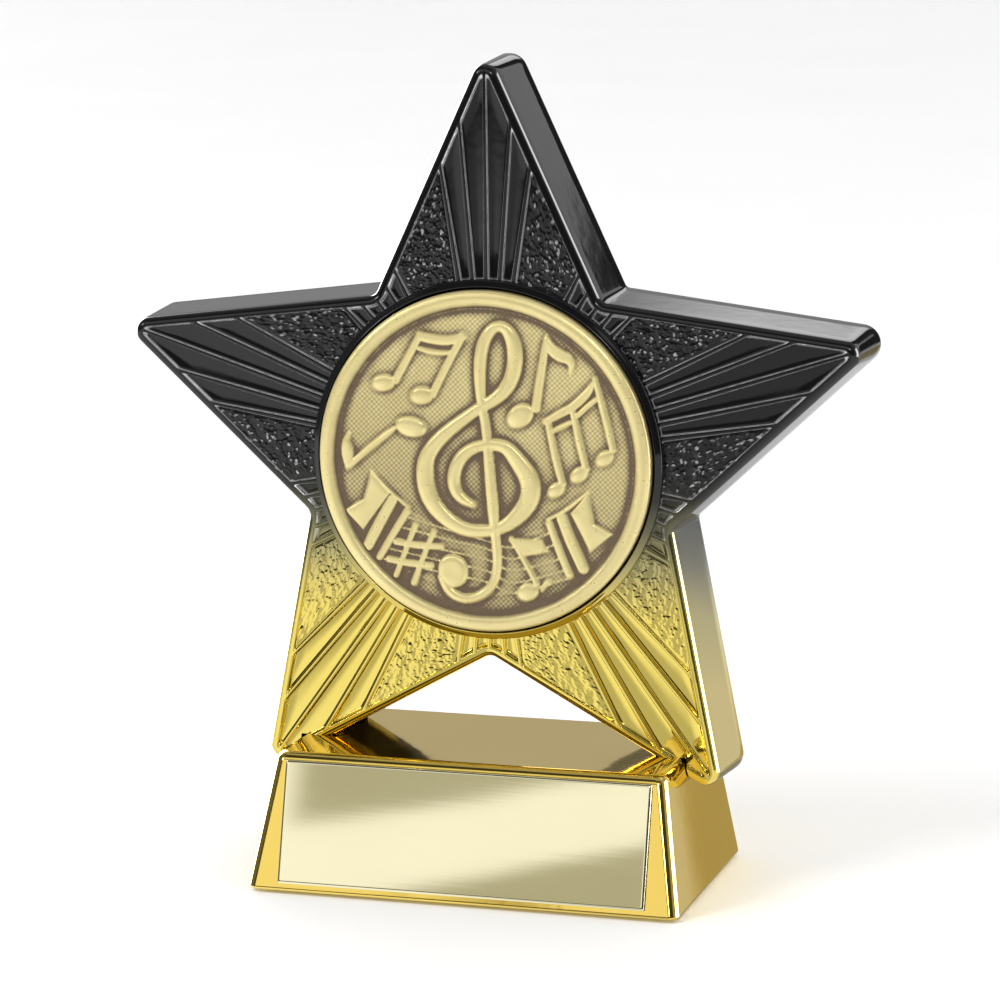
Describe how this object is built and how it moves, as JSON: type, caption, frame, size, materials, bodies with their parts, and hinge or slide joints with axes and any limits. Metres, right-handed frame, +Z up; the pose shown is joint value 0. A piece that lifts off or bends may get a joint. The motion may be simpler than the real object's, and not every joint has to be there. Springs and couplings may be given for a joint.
{
  "type": "star trophy",
  "caption": "Desk trophy: a thick five-pointed star with a raised ray pattern and a round metal centre disc, standing astride a low sloped base with a blank engraving plate.",
  "frame": {"origin": "middle of the underside of the felt pad, on the standing surface, centred on the whole object's box", "axes": "+Z up, +X to the right of a person facing the star, +Y away from that person; the star and the engraving plate face -Y"},
  "size_m": [0.1104, 0.0391, 0.1205],
  "materials": {
    "star_plating": "metallised, gloss black above fading to mirror gold at the feet",
    "back_panel_plating": "gloss black fading to gold at the feet",
    "antique_brass": "satin, dark patina in the recesses",
    "adhesive_foam": "matte foam tape",
    "gold_plating": "metallised mirror gold",
    "plate_metal": "pale gold anodised, bright satin",
    "adhesive_film": "clear film",
    "screw_steel": "zinc plated",
    "ballast_steel": "raw cut bar",
    "black_foam": "matte foam",
    "black_plastic": "matte",
    "felt": "short pile felt"
  },
  "bodies": {
    "root": {"star_front_shell": "star_plating", "star_back_panel": "back_panel_plating", "medal_disc": "antique_brass", "medal_adhesive_pad": "adhesive_foam", "base_shell": "gold_plating", "engraving_plate": "plate_metal", "engraving_plate_adhesive": "adhesive_film", "star_fixing_screws": "screw_steel", "ballast_weight": "ballast_steel", "ballast_foam_pad": "black_foam", "base_bottom_plate": "black_plastic", "bottom_plate_screws": "screw_steel", "base_felt_pad": "felt"}
  },
  "joints": []
}
